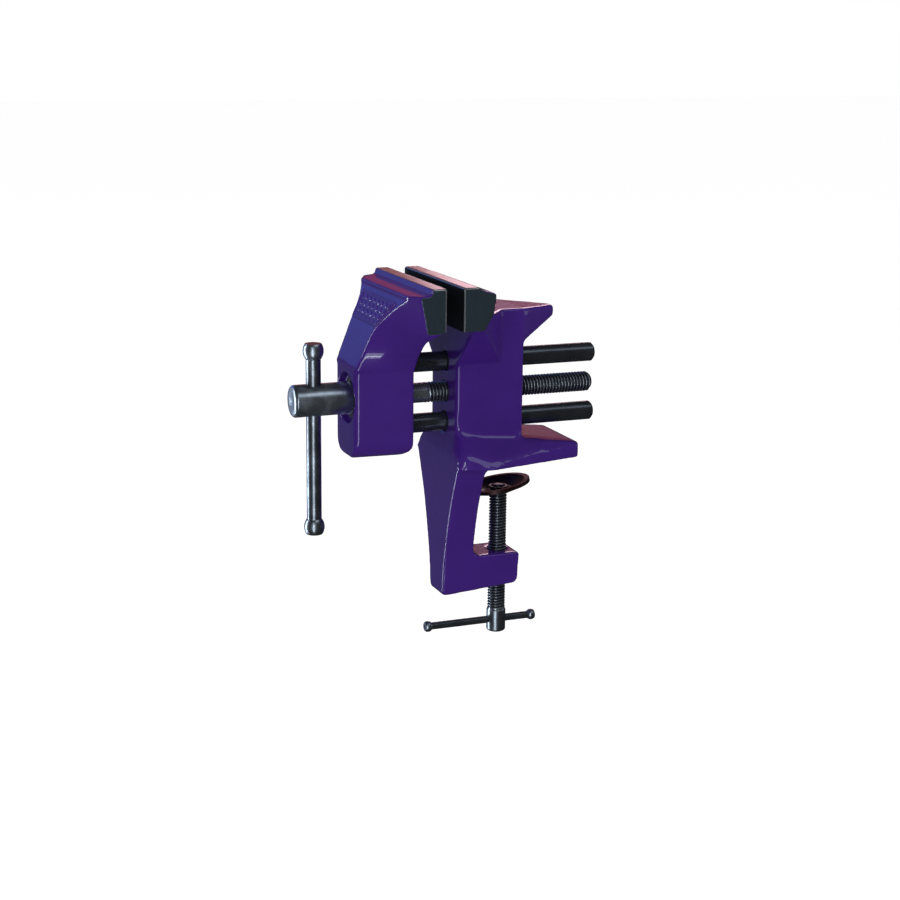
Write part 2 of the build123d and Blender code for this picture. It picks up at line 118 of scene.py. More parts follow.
class PanelSettings(bpy.types.PropertyGroup):
    """Sizes of the raised panel on the moving jaw's sloping front."""
    top_drop: length("Top", 7.3, "Top edge of the panel below the jaw's top, in millimetres")
    foot_drop: length("Foot", 18.6, "Lower edge of the panel below the jaw's top, in millimetres")
    top_half: length("Half-width at top", 21.5, "Half the panel's width at its top edge, in millimetres")
    foot_half: length("Half-width at foot", 15.2, "Half the panel's width at its lower edge, in millimetres")
    dot_pitch: length("Dot pitch", 5.2, "Spacing of the raised dots across the panel, in millimetres")
    dot_height: length("Dot height", 0.42, "Height of the raised dots, in millimetres")
    border: length("Border", 0.9, "Width of the raised border, in millimetres")


class SteelSettings(bpy.types.PropertyGroup):
    """Threads and colours of the steel parts."""
    screw_pitch: length("Screw pitch", 1.5875,
                        "Pitch of the main screw, 16 threads to the inch, in millimetres")
    clamp_pitch: length("Clamp pitch", 1.411,
                        "Pitch of the clamp screw, 18 threads to the inch, in millimetres")
    bright: colour("Bright steel", (0.42, 0.47, 0.53),
                   "Turned steel of the screw head, the handle and the knobs")
    dark: colour("Dark steel", (0.072, 0.081, 0.096), "Oiled black steel of the rods and threads")
    # The crest colour is a painted highlight on the threads' crests, brighter than the flanks.
    crest: colour("Thread crest", (0.50, 0.55, 0.60), "Rubbed crests of the threads")


class StageSettings(bpy.types.PropertyGroup):
    """Camera, floor and light."""
    camera_distance: length("Camera distance", 839.97, "From the camera to its target, in millimetres")
    camera_azimuth: bpy.props.FloatProperty(name="Camera azimuth", default=radians(-22.113), subtype="ANGLE",
                                            description="Turn of the camera round the vise")
    camera_elevation: bpy.props.FloatProperty(name="Camera elevation", default=radians(13.506),
                                              subtype="ANGLE",
                                              description="Height of the camera over the horizon")
    camera_roll: bpy.props.FloatProperty(name="Camera roll", default=radians(0.636), subtype="ANGLE",
                                         description="Turn of the camera about its own axis")
    floor: colour("Floor", (0.93, 0.93, 0.93), "Pale floor")
    floor_drop: length("Floor drop", 25.0,
                       "Floor below the vise, room for the clamp screw's travel, in millimetres")
    floor_glow: bpy.props.FloatProperty(name="Floor glow", default=0.46, min=0.0,
                                        description="Light of the floor itself, as of a lit table")
    room_light: bpy.props.FloatProperty(name="Room light", default=0.62, min=0.0,
                                        description="Even light of the room on matt surfaces")
    room_mirror: bpy.props.FloatProperty(name="Room in reflections", default=0.035, min=0.0,
                                         description="Brightness of the room as glossy surfaces mirror it")


# -------------------------------------------------------------------------------------------- shader maths
class Value:
    """A socket that carries a number. Arithmetic on it adds Math nodes."""

    def __init__(self, tree, socket):
        self.tree = tree
        self.socket = socket

    def math(self, operation, *others):
        """One Math node with this value first."""
        node = self.tree.nodes.new("ShaderNodeMath")
        node.operation = operation
        for place, item in zip(node.inputs, (self,) + others):
            if isinstance(item, Value):
                self.tree.links.new(item.socket, place)
            else:
                place.default_value = item
        return Value(self.tree, node.outputs[0])

    def __add__(self, other):
        return self.math("ADD", other)

    def __sub__(self, other):
        return self.math("SUBTRACT", other)

    def __mul__(self, other):
        return self.math("MULTIPLY", other)

    __radd__ = __add__
    __rmul__ = __mul__

    def __rsub__(self, other):
        return (self * -1.0) + other

    def step(self, start, end):
        """0 before start, 1 after end, and a smooth ramp between them."""
        node = self.tree.nodes.new("ShaderNodeMapRange")
        node.interpolation_type = "SMOOTHSTEP"
        self.tree.links.new(self.socket, node.inputs["Value"])
        if start > end:
            start, end, low_end, high_end = end, start, 1.0, 0.0
        else:
            low_end, high_end = 0.0, 1.0
        node.inputs["From Min"].default_value = start
        node.inputs["From Max"].default_value = end
        node.inputs["To Min"].default_value = low_end
        node.inputs["To Max"].default_value = high_end
        return Value(self.tree, node.outputs["Result"])

    def at_least(self, other):
        """The larger of this value and another."""
        return self.math("MAXIMUM", other)


def shade(tint, factor):
    """A colour made lighter or darker by a factor."""
    return tuple(c * factor for c in tint)


class Finish:
    """A material being made: its node tree, its shader and its object coordinates in millimetres."""

    def __init__(self, name):
        self.material = bpy.data.materials.new(name)
        self.material.use_nodes = True
        self.tree = self.material.node_tree
        self.shader = self.tree.nodes["Principled BSDF"]
        place = self.tree.nodes.new("ShaderNodeTexCoord")
        self.place = self.add("ShaderNodeVectorMath", {"operation": "SCALE"},
                              {0: place.outputs["Object"], "Scale": 1 / MM}).outputs["Vector"]
        split = self.add("ShaderNodeSeparateXYZ", {}, {0: self.place})
        self.x, self.y, self.z = (Value(self.tree, s) for s in split.outputs)

    def add(self, kind, settings, sockets):
        """A node of a kind, with its settings made first and then its sockets' values or links."""
        node = self.tree.nodes.new(kind)
        for key, setting in settings.items():
            setattr(node, key, setting)
        for key, item in sockets.items():
            if isinstance(item, Value):
                self.tree.links.new(item.socket, node.inputs[key])
            elif isinstance(item, bpy.types.NodeSocket):
                self.tree.links.new(item, node.inputs[key])
            else:
                node.inputs[key].default_value = item
        return node

    def noise(self, size, detail, stretch=(1.0, 1.0, 1.0)):
        """Noise whose blobs are about size millimetres across, drawn out along the axes by stretch."""
        scale = tuple(1.0 / (size * s) for s in stretch)
        spread = self.add("ShaderNodeMapping", {}, {"Vector": self.place, "Scale": scale})
        node = self.add("ShaderNodeTexNoise", {}, {
            "Vector": spread.outputs[0], "Scale": 1.0, "Detail": detail, "Roughness": 0.5})
        return Value(self.tree, node.outputs["Fac"])

    def blend(self, factor, first, second):
        """A colour that goes from first to second as factor goes from 0 to 1."""
        sockets = {0: factor}
        for key, item in ((6, first), (7, second)):
            sockets[key] = tuple(item) + (1.0,) if isinstance(item, (tuple, list)) else item
        return self.add("ShaderNodeMix", {"data_type": "RGBA"}, sockets).outputs[2]

    def radius(self, point, axis):
        """Distance in millimetres from the line through point along axis."""
        keep = [0.0 if k == axis else 1.0 for k in range(3)]
        shifted = self.add("ShaderNodeVectorMath", {"operation": "SUBTRACT"},
                           {0: self.place, 1: tuple(point)})
        flat = self.add("ShaderNodeVectorMath", {"operation": "MULTIPLY"}, {0: shifted.outputs[0], 1: keep})
        return Value(self.tree, self.add("ShaderNodeVectorMath", {"operation": "LENGTH"},
                                         {0: flat.outputs[0]}).outputs["Value"])

    def bump(self, height, distance):
        """Bump of a height given as 0 to 1, of distance millimetres."""
        node = self.add("ShaderNodeBump", {}, {"Strength": 1.0, "Distance": distance * MM, "Height": height})
        self.tree.links.new(node.outputs[0], self.shader.inputs["Normal"])

    def set(self, **values):
        """Sets or links the shader's sockets; an underscore stands for a space."""
        for key, item in values.items():
            socket = self.shader.inputs[key.replace("_", " ")]
            if isinstance(item, Value):
                self.tree.links.new(item.socket, socket)
            elif isinstance(item, bpy.types.NodeSocket):
                self.tree.links.new(item, socket)
            else:
                socket.default_value = item


def enamel_finish(name, grip_x, grip_side, half, top):
    """Violet gloss enamel, and ground iron where the casting reaches its ground planes: the jaw's grip face,
    its two ends at half from the middle, its top, and the arrises where two of them meet. The iron of the
    ends and the grip face is coloured darker than the top, the grip face nearly black, as painted shade."""
    settings = bpy.context.scene.vise_casting
    f = Finish(name)
    blur, arris_width = 0.07, 0.7
    side, toward_grip, grip_at = f.y.math("ABSOLUTE"), f.x * grip_side, grip_x * grip_side
    upper = f.z.step(top - 2 * blur, top - blur)
    ends = side.step(half - 2 * blur, half - blur)
    grip = toward_grip.step(grip_at - 2 * blur, grip_at - blur)
    near_top = f.z.step(top - arris_width, top - arris_width + blur)
    near_end = side.step(half - arris_width, half - arris_width + blur)
    near_grip = toward_grip.step(grip_at - arris_width, grip_at - arris_width + blur)
    arris = (near_top * near_end).at_least(near_top * near_grip).at_least(near_end * near_grip)
    ground = upper.at_least(ends).at_least(grip).at_least(arris)
    shaded_faces_mask = ends.at_least(grip)
    clouds = f.noise(14.0, 2.0)
    paint = f.blend(clouds, shade(settings.enamel, 0.86), shade(settings.enamel, 1.12))
    grain = f.noise(0.9, 2.0, stretch=(0.35, 14.0, 0.35))
    end_grain = f.noise(0.8, 3.0, stretch=(0.4, 1.0, 9.0))
    bright = f.blend(grain, shade(settings.ground, 0.8), shade(settings.ground, 1.25))
    # The ends get dark grey iron and the grip face nearly black iron, much darker than the ground top:
    # painted shade.
    shaded_end_iron = f.blend(end_grain, (0.024, 0.038, 0.050), (0.044, 0.064, 0.082))
    black = f.blend(grain, (0.006, 0.008, 0.010), (0.016, 0.020, 0.024))
    faces = f.blend(grip, shaded_end_iron, black)
    iron = f.blend(shaded_faces_mask, bright, faces)
    f.set(Base_Color=f.blend(ground, paint, iron))
    f.set(Metallic=ground * (1 - shaded_faces_mask * 0.55))
    f.set(Roughness=0.30 + ground * (end_grain * 0.12 - 0.06 + shaded_faces_mask * 0.16))
    f.set(Coat_Weight=1 - ground, Coat_Roughness=0.045, Coat_IOR=1.5, Specular_IOR_Level=0.12)
    peel = f.noise(1.5, 2.0)
    lumps = f.noise(6.5, 3.0)
    height = (peel * 0.22 + lumps) * (1 - ground) + end_grain * ground * 0.10
    f.bump(height, 0.16)
    return f.material


def bright_finish(name, axis, factor):
    """Turned bright steel: fine rings round its axis, darker at handling marks, and lighter or darker by a
    factor given per part, which paints light and shade into the steel's colour.
    """
    settings = bpy.context.scene.vise_steel
    f = Finish(name)
    stretch = [60.0, 60.0, 60.0]
    stretch[axis] = 1.0
    rings = f.noise(0.45, 2.0, stretch=tuple(stretch))
    smears = f.noise(7.0, 4.0)
    base = shade(settings.bright, factor)
    f.set(Base_Color=f.blend(smears.step(0.38, 0.72), shade(base, 0.62), shade(base, 1.18)))
    f.set(Metallic=1.0, Roughness=0.25 + rings * 0.08 + smears * 0.06)
    f.bump(rings, 0.002)
    return f.material


def dark_finish(name, axis, rough):
    """Black oiled steel with faint drawing lines along its axis."""
    settings = bpy.context.scene.vise_steel
    f = Finish(name)
    stretch = [1.0, 1.0, 1.0]
    stretch[axis] = 30.0
    lines = f.noise(0.5, 2.0, stretch=tuple(stretch))
    clouds = f.noise(9.0, 3.0)
    f.set(Base_Color=f.blend(clouds, shade(settings.dark, 0.6), shade(settings.dark, 1.7)))
    f.set(Metallic=0.85, Roughness=rough + lines * 0.12 + clouds * 0.06)
    f.bump(lines, 0.010)
    return f.material


def thread_finish(name, point, axis, root, crest, shine):
    """Black thread flanks with crests painted bright as a highlight, between the radii of the root and the
    crest.
    """
    settings = bpy.context.scene.vise_steel
    f = Finish(name)
    # The crests are coloured brighter than the flanks by their distance from the axis: a painted highlight.
    crest_highlight = f.radius(point, axis).step(root + 0.55 * (crest - root), crest)
    patches = f.noise(3.0, 3.0)
    mask = crest_highlight * (0.55 + patches * 0.6)
    f.set(Base_Color=f.blend(mask, tuple(settings.dark), shade(settings.crest, shine)))
    f.set(Metallic=0.9, Roughness=0.34 - mask * 0.10)
    f.bump(patches, 0.01)
    return f.material


def pressed_finish(name, tints, rough):
    """Pressed steel with a skin mottled between two colours."""
    f = Finish(name)
    mottle = f.noise(1.8, 4.0)
    f.set(Base_Color=f.blend(mottle, *tints))
    f.set(Metallic=0.7, Roughness=rough + mottle * 0.2)
    f.bump(mottle, 0.05)
    return f.material


# -------------------------------------------------------------------------------------------- mesh maths
def new_object(name, points, groups, material, body, nodes):
    """A piece from points in millimetres and arrays of faces, on a body, in place of CAD nodes."""
    mesh = bpy.data.meshes.new(name)
    sizes = np.concatenate([np.full(len(g), g.shape[1]) for g in groups])
    corners = np.concatenate([g.ravel() for g in groups])
    mesh.vertices.add(len(points))
    mesh.vertices.foreach_set("co", (points * MM).astype(np.float32).ravel())
    mesh.loops.add(len(corners))
    mesh.loops.foreach_set("vertex_index", corners.astype(np.int32))
    mesh.polygons.add(len(sizes))
    mesh.polygons.foreach_set("loop_start", np.concatenate([[0], np.cumsum(sizes)[:-1]]).astype(np.int32))
    mesh.polygons.foreach_set("use_smooth", np.ones(len(sizes), bool))
    mesh.update(calc_edges=True)
    mesh.validate()
    piece = bpy.data.objects.new(name, mesh)
    bpy.context.scene.collection.objects.link(piece)
    mesh.materials.append(material)
    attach(piece, body)
    if nodes:
        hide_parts(*nodes)
    return piece


def evaluated(piece):
    """The mesh of a piece with its modifiers applied."""
    bpy.context.view_layer.update()
    return bpy.data.meshes.new_from_object(piece.evaluated_get(bpy.context.evaluated_depsgraph_get()))


def arrays(mesh):
    """A mesh's points in millimetres, its edges, and its faces as quads and triangles."""
    points = np.empty(len(mesh.vertices) * 3, np.float32)
    mesh.vertices.foreach_get("co", points)
    edges = np.empty(len(mesh.edges) * 2, np.int32)
    mesh.edges.foreach_get("vertices", edges)
    corners = np.empty(len(mesh.loops), np.int32)
    mesh.loops.foreach_get("vertex_index", corners)
    sizes = np.empty(len(mesh.polygons), np.int32)
    mesh.polygons.foreach_get("loop_total", sizes)
    starts = np.empty(len(mesh.polygons), np.int32)
    mesh.polygons.foreach_get("loop_start", starts)
    groups = [corners[starts[sizes == n][:, None] + np.arange(n)] for n in (3, 4) if (sizes == n).any()]
    return points.reshape(-1, 3).astype(float) / MM, edges.reshape(-1, 2), groups


def cells_of(node, cell):
    """A copy of a CAD node with its seams merged, laid out again in even cells."""
    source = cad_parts[node]
    copy = bpy.data.objects.new("cells", source.data.copy())
    bpy.context.scene.collection.objects.link(copy)
    weld = copy.modifiers.new("weld", "WELD")
    weld.merge_threshold = SEAM * MM
    remesh = copy.modifiers.new("cells", "REMESH")
    remesh.mode = "VOXEL"
    remesh.voxel_size = cell * MM
    mesh = evaluated(copy)
    result = arrays(mesh)
    bpy.data.objects.remove(copy)
    return result


def soften(points, edges, rounds, planes):
    """Each round moves every point halfway to the mean of its neighbours; a point on a ground plane keeps
    that plane's coordinate."""
    count = len(points)
    shared = np.bincount(edges.ravel(), minlength=count)[:, None]
    for _ in range(rounds):
        total = np.stack([
            np.bincount(edges[:, 0], points[edges[:, 1], k], count)
            + np.bincount(edges[:, 1], points[edges[:, 0], k], count) for k in range(3)], 1)
        points = points + 0.5 * (total / shared - points)
        for axis, value, on in planes:
            points[on, axis] = value
    return points


def wander(points, size):
    """A smooth field from -1 to 1: the mean of sines of the place along seven slanting directions."""
    directions = np.array([[1, .3, .2], [-.4, 1, .5], [.2, -.5, 1], [.8, .7, -.3], [-.6, .5, .9],
                           [.5, -.9, .4], [-.9, -.2, -.7]])
    phases = np.arange(len(directions)) * 1.7
    return np.sin(points @ directions.T * (2 * pi / size) + phases).mean(1)


def lathe(along, radii, turns, axis, centre, twist=None):
    """Surface of revolution: at profile place s and angle t the point is along(s) on the axis and
    radius(s, t) off it, with a pole at each end. twist(along, radius, angle) may change the radius."""
    angle = np.arange(turns) * (2 * pi / turns)
    a = np.repeat(np.asarray(along, float)[:, None], turns, 1)
    r = np.repeat(np.asarray(radii, float)[:, None], turns, 1)
    t = np.repeat(angle[None, :], len(a), 0)
    if twist is not None:
        r = twist(a, r, t)
    parts = [None] * 3
    parts[axis] = a
    parts[(axis + 1) % 3] = r * np.cos(t)
    parts[(axis + 2) % 3] = r * np.sin(t)
    rows = len(a)
    points = np.stack([p.ravel() for p in parts], 1) + np.asarray(centre, float)
    ends = np.repeat(np.asarray(centre, float)[None, :], 2, 0)
    ends[0, axis] += a[0, 0]
    ends[1, axis] += a[-1, 0]
    points = np.concatenate([points, ends])
    i = np.arange(rows - 1)[:, None] * turns
    j = np.arange(turns)[None, :]
    k = (j + 1) % turns
    quads = np.stack([i + j, i + k, i + turns + k, i + turns + j], -1).reshape(-1, 4)
    j, k = j[0], k[0]
    base = (rows - 1) * turns
    first = np.stack([k, j, np.full(turns, rows * turns)], 1)
    last = np.stack([base + j, base + k, np.full(turns, rows * turns + 1)], 1)
    if a[-1, 0] > a[0, 0]:
        quads, first, last = quads[:, ::-1], first[:, ::-1], last[:, ::-1]
    return points, [quads, np.concatenate([first, last])]


def rounded(profile, radius, steps=4):
    """A profile with rounded corners: each corner becomes a run of points on the parabola that goes from
    radius before it to radius after it, weighting the corner by 2t(1-t)."""
    p = np.asarray(profile, float)
    out = [p[0]]
    t = np.linspace(0, 1, steps + 1)[:, None]
    for before, corner, after in zip(p, p[1:], p[2:]):
        down, up = before - corner, after - corner
        reach = min(radius, 0.45 * np.linalg.norm(down), 0.45 * np.linalg.norm(up))
        start = corner + down / np.linalg.norm(down) * reach
        end = corner + up / np.linalg.norm(up) * reach
        out.extend((1 - t) ** 2 * start + 2 * t * (1 - t) * corner + t ** 2 * end)
    out.append(p[-1])
    return np.array(out)


def thread(pitch, depth, start, end):
    """Radius of a right-hand thread: the radius less the depth times a trapezoid wave of (along / pitch -
    angle / 2 pi), between start and end, easing in over one pitch at each of them."""
    def shape(along, radius, angle):
        wave = np.abs(((along / pitch - angle / (2 * pi)) % 1.0) * 2 - 1)
        cut = depth * np.clip(wave * 1.5 - 0.22, 0, 1)
        ease = np.clip((along - start) / pitch, 0, 1) * np.clip((end - along) / pitch, 0, 1)
        threaded = (along >= start) & (along <= end)
        return np.where(threaded, np.minimum(radius, radius.max() - cut * ease), radius)
    return shape


def drilled(piece, point, axis, diameter, reach):
    """Cuts a round hole through a piece along an axis, bevels every sharp edge a little, and shades the
    edges that are still sharp as sharp."""
    points, groups = lathe([-reach, reach], [diameter / 2] * 2, 72, axis, point)
    drill = bpy.data.objects.new("drill", bpy.data.meshes.new("drill"))
    drill.data.from_pydata((points * MM).tolist(), [], [list(map(int, f)) for g in groups for f in g])
    bpy.context.scene.collection.objects.link(drill)
    cut = piece.modifiers.new("hole", "BOOLEAN")
    cut.object = drill
    cut.solver = "EXACT"
    bevel = piece.modifiers.new("edges", "BEVEL")
    bevel.width = 0.22 * MM
    bevel.segments = 3
    bevel.limit_method = "ANGLE"
    bevel.angle_limit = radians(40)
    mesh = evaluated(piece)
    piece.modifiers.clear()
    piece.data = mesh
    bpy.data.objects.remove(drill)
    mesh.polygons.foreach_set("use_smooth", np.ones(len(mesh.polygons), bool))
    mesh.set_sharp_from_angle(angle=radians(35))


# -------------------------------------------------------------------------------------------- pieces
def casting(name, node, body, cell, rounds, grip_side):
    """A casting in even cells, softened at every edge but those between ground planes. grip_side is the side
    of the jaw's grip face along x."""
    settings = bpy.context.scene.vise_casting
    points, edges, groups = cells_of(node, cell)
    half, top = high(node)[1], high(node)[2]
    grip = high(node)[0] if grip_side > 0 else low(node)[0]
    near = 0.45 * cell
    planes = [
        (1, half, np.abs(points[:, 1] - half) < near),
        (1, -half, np.abs(points[:, 1] + half) < near),
        (2, top, np.abs(points[:, 2] - top) < near),
        (0, grip, np.abs(points[:, 0] - grip) < near),
    ]
    held = np.zeros(len(points), bool)
    for axis, value, on in planes:
        points[on, axis] = value
        held |= on
    points = soften(points, edges, rounds, planes)
    if node == "fixed_body":
        skirt_half, skirt_foot, skirt_top, skirt_rear = 15.4, 1.2, 24.0, 14.0
        side, height = np.abs(points[:, 1]), points[:, 2]
        skirt = ((side > skirt_half) & (height > skirt_foot) & (height < skirt_top)
                 & (points[:, 0] < skirt_rear))
        others = [(k, points[~skirt, k], ~skirt) for k in range(3)]
        smoother = soften(points, edges, settings.skirt_rounds, planes + others)
        points = np.where(skirt[:, None], smoother, points)
    drift = wander(points, 17.0) * settings.unevenness
    core_x, core_z = (-52, -10), (-55, 75)
    core = np.stack([np.clip(points[:, 0], *core_x), points[:, 1] * 0, np.clip(points[:, 2], *core_z)], 1)
    outward = points - core
    outward /= np.maximum(np.linalg.norm(outward, axis=1, keepdims=True), 1.0)
    points[~held] += (outward * drift[:, None])[~held]
    material = enamel_finish(name + "_enamel", grip, grip_side, half, top)
    return new_object(name, points, groups, material, body, [node])


class VISE_OT_castings(bpy.types.Operator):
    """Fixed and moving castings with softened edges, enamel and ground jaws."""
    bl_idname = "vise.castings"
    bl_label = "Castings"

    def execute(self, context):
        s = context.scene.vise_casting
        casting("fixed_casting", "fixed_body", "frame", s.body_cell, s.body_rounds, -1.0)
        casting("moving_casting", "moving_jaw", "jaw", s.jaw_cell, s.jaw_rounds, 1.0)
        return {"FINISHED"}


class VISE_OT_front_panel(bpy.types.Operator):
    """Raised panel with a dotted field on the moving jaw's sloping front."""
    bl_idname = "vise.front_panel"
    bl_label = "Front panel"

    def execute(self, context):
        s = context.scene.vise_panel
        jaw = bpy.data.objects["moving_casting"]
        skin, _, _ = arrays(jaw.data)
        top = high("moving_jaw")[2]
        # the jaw's own front, measured level by level on a strip down its middle and made smooth
        strip_half, strip_front, strip_drop, band = 5, -50, 36, 0.8
        strip = skin[(np.abs(skin[:, 1]) < strip_half) & (skin[:, 0] < strip_front)
                     & (skin[:, 2] > top - strip_drop)]
        levels = np.linspace(top - s.foot_drop - 2, top - s.top_drop + 1.2, 40)
        front = np.array([strip[np.abs(strip[:, 2] - level) < band][:, 0].min() for level in levels])
        front = np.polyval(np.polyfit(levels, front, 4), levels)
        # the panel's grid over that front, and the way it faces
        columns, rows = 216, 66
        u = np.linspace(-1, 1, columns)[None, :].repeat(rows, 0)
        v = np.linspace(0, 1, rows)[:, None].repeat(columns, 1)
        drop = s.top_drop + v * (s.foot_drop - s.top_drop)
        half = s.top_half + v * (s.foot_half - s.top_half)
        z = top - drop
        y = u * half
        x = np.interp(z, levels, front)
        slope = np.gradient(front, levels)
        lean = np.interp(z, levels, slope)
        normal = np.stack([-np.ones_like(lean), np.zeros_like(lean), lean], -1)
        normal /= np.linalg.norm(normal, axis=-1, keepdims=True)
        # lengths on the panel: down its slope, in from its outline, and off the nearest dot
        slant = 1.25
        down = (drop - s.top_drop) * slant
        inset = np.minimum(np.minimum(down, down.max() - down), half - np.abs(y))
        row_pitch, dot_radius, dot_squash = 0.62 * s.dot_pitch, 0.44 * s.dot_pitch, 0.66
        row = np.round(down / row_pitch)
        shift = (row % 2) * s.dot_pitch / 2
        across = (y - shift) - np.round((y - shift) / s.dot_pitch) * s.dot_pitch
        gap = np.hypot(across, (down - row * row_pitch) / dot_squash)
        dots = np.sqrt(np.clip(1 - (gap / dot_radius) ** 2, 0, 1)) * s.dot_height
        # the relief: an edge that rises out of the casting, a raised border, and dots inside it
        ramp, margin, sunk, plate, rim_height, depth = 0.4, 0.9, 0.25, 0.3, 0.30, 0.7
        field = np.clip((inset - s.border - margin) / ramp, 0, 1)
        rim = np.clip(inset / 0.35, 0, 1) * np.clip((s.border + 0.5 - inset) / ramp, 0, 1)
        height = -sunk + plate * np.clip(inset / 0.3, 0, 1) + rim * rim_height + dots * field
        outer = np.stack([x, y, z], -1) + normal * height[..., None]
        inner = np.stack([x, y, z], -1) - normal * depth
        points = np.concatenate([outer.reshape(-1, 3), inner.reshape(-1, 3)])
        # outer faces, inner faces and the wall between their outlines, all turned outwards
        i = (np.arange(rows - 1)[:, None] * columns + np.arange(columns - 1)[None, :]).ravel()
        face = np.stack([i, i + columns, i + columns + 1, i + 1], 1)
        count = rows * columns
        rim_path = np.concatenate([np.arange(columns), np.arange(1, rows) * columns + columns - 1,
                                   np.arange(count - 2, count - columns - 1, -1),
                                   np.arange(rows - 2, 0, -1) * columns])
        after = np.roll(rim_path, -1)
        wall = np.stack([rim_path, after, after + count, rim_path + count], 1)
        groups = [face[:, ::-1], face + count, wall[:, ::-1]]
        if np.cross(outer[0, -1] - outer[0, 0], outer[-1, 0] - outer[0, 0])[0] >= 0:
            groups = [g[:, ::-1] for g in groups]
        new_object("front_panel", points, groups, jaw.data.materials[0], "jaw", [])
        return {"FINISHED"}


class VISE_OT_main_screw(bpy.types.Operator):
    """Main screw: head with its cross hole, plain shank and a right-hand thread cut back at its end."""
    bl_idname = "vise.main_screw"
    bl_label = "Main screw"

    def execute(self, context):
        s = context.scene.vise_steel
        node = "main_screw"
        centre = middle(node) * (0, 1, 1)
        start, end = low(node)[0], high(node)[0]
        head_r = (high(node)[2] - low(node)[2]) / 2
        head_end = low("thrust_washer")[0] - 0.1
        shank_r, thread_r, thread_depth, chamfer_depth, run_out = 4.65, 4.7625, 0.86, 1.6, 9
        thread_start = low("upper_guide_rod")[0] + 32.5
        head = rounded([(start + 3.6, 0.3), (start + 3.0, 1.5), (start, 1.9), (start, head_r - 2.2),
                        (start + 0.35, head_r - 0.8), (start + 1.3, head_r), (head_end - 0.9, head_r),
                        (head_end - 0.25, head_r - 0.55), (head_end, head_r - 0.9), (head_end, 3.0)], 0.3)
        points, groups = lathe(head[:, 0], head[:, 1], 128, 0, centre)
        handle = middle("handle_bar")
        # The head's steel is made 1.7 times lighter than the bright steel: painted light.
        material = bright_finish("screw_head_steel", 0, 1.7)
        piece = new_object("main_screw_head", points, groups, material, "screw", [node])
        drilled(piece, (handle[0], 0, centre[2]), 2, diameter=7.0, reach=12.0)
        samples = int((end - thread_start) / s.screw_pitch * TURN_STEPS)
        along = np.concatenate([[head_end - 0.5, head_end - 0.5],
                                np.linspace(head_end, thread_start - 0.6, 8),
                                np.linspace(thread_start, end, samples), [end]])
        chamfer = np.minimum(thread_r, thread_r - chamfer_depth + (end - along))
        radii = np.where(along < thread_start - 0.1, shank_r, chamfer)
        radii[0], radii[-1] = 2.0, 1.0
        cut = thread(s.screw_pitch, thread_depth, thread_start, end + run_out)
        points, groups = lathe(along, radii, 72, 0, centre, cut)
        material = thread_finish("screw_thread_steel", centre, 0, thread_r - thread_depth, thread_r, 1.0)
        new_object("main_screw_thread", points, groups, material, "screw", [node])
        return {"FINISHED"}


class VISE_OT_clamp_screw(bpy.types.Operator):
    """Clamp screw: bright head with its cross hole, right-hand thread and riveted tip."""
    bl_idname = "vise.clamp_screw"
    bl_label = "Clamp screw"

    def execute(self, context):
        s = context.scene.vise_steel
        node = "clamp_screw"
        centre = middle(node) * (1, 1, 0)
        foot, tip = low(node)[2], high(node)[2]
        head_r = (high(node)[0] - low(node)[0]) / 2
        thread_r, thread_depth, chamfer_depth, head_length = 4.25, 0.76, 0.9, 11.4
        shoulder = low("pad_washer")[2]
        bar = middle("clamp_handle_bar")
        head_top = foot + head_length
        head = rounded([(foot, 0.2), (foot, head_r - 1.0), (foot + 0.5, head_r - 0.2),
                        (foot + 1.0, head_r), (head_top - 0.8, head_r), (head_top, head_r - 0.5),
                        (head_top, 2.0)], 0.25)
        points, groups = lathe(head[:, 0], head[:, 1], 96, 2, centre)
        # The clamp head's steel is made 1.15 times lighter than the bright steel: painted light.
        material = bright_finish("clamp_head_steel", 2, 1.15)
        piece = new_object("clamp_screw_head", points, groups, material, "clamp", [node])
        drilled(piece, (0, 0, bar[2]), 0, diameter=3.6, reach=9.0)
        samples = int((shoulder - head_top) / s.clamp_pitch * TURN_STEPS)
        along = np.concatenate([[head_top - 0.4, head_top - 0.4],
                                np.linspace(head_top, shoulder - 0.02, samples), [shoulder, shoulder]])
        chamfer = np.minimum(thread_r, thread_r - chamfer_depth + (shoulder - along))
        chamfer[0], chamfer[-1] = 2.0, 2.6
        tip_along = [tip - 2.2, tip - 0.9, tip - 0.8, tip - 0.5, tip - 0.15, tip]
        tip_radii = [2.5, 2.5, 3.25, 3.3, 2.4, 1.0]
        along = np.concatenate([along, tip_along])
        radii = np.concatenate([chamfer, tip_radii])
        cut = thread(s.clamp_pitch, thread_depth, head_top, shoulder)
        points, groups = lathe(along, radii, 72, 2, centre, cut)
        material = thread_finish("clamp_thread_steel", centre, 2, thread_r - thread_depth, thread_r, 0.8)
        new_object("clamp_screw_thread", points, groups, material, "clamp", [node])
        return {"FINISHED"}


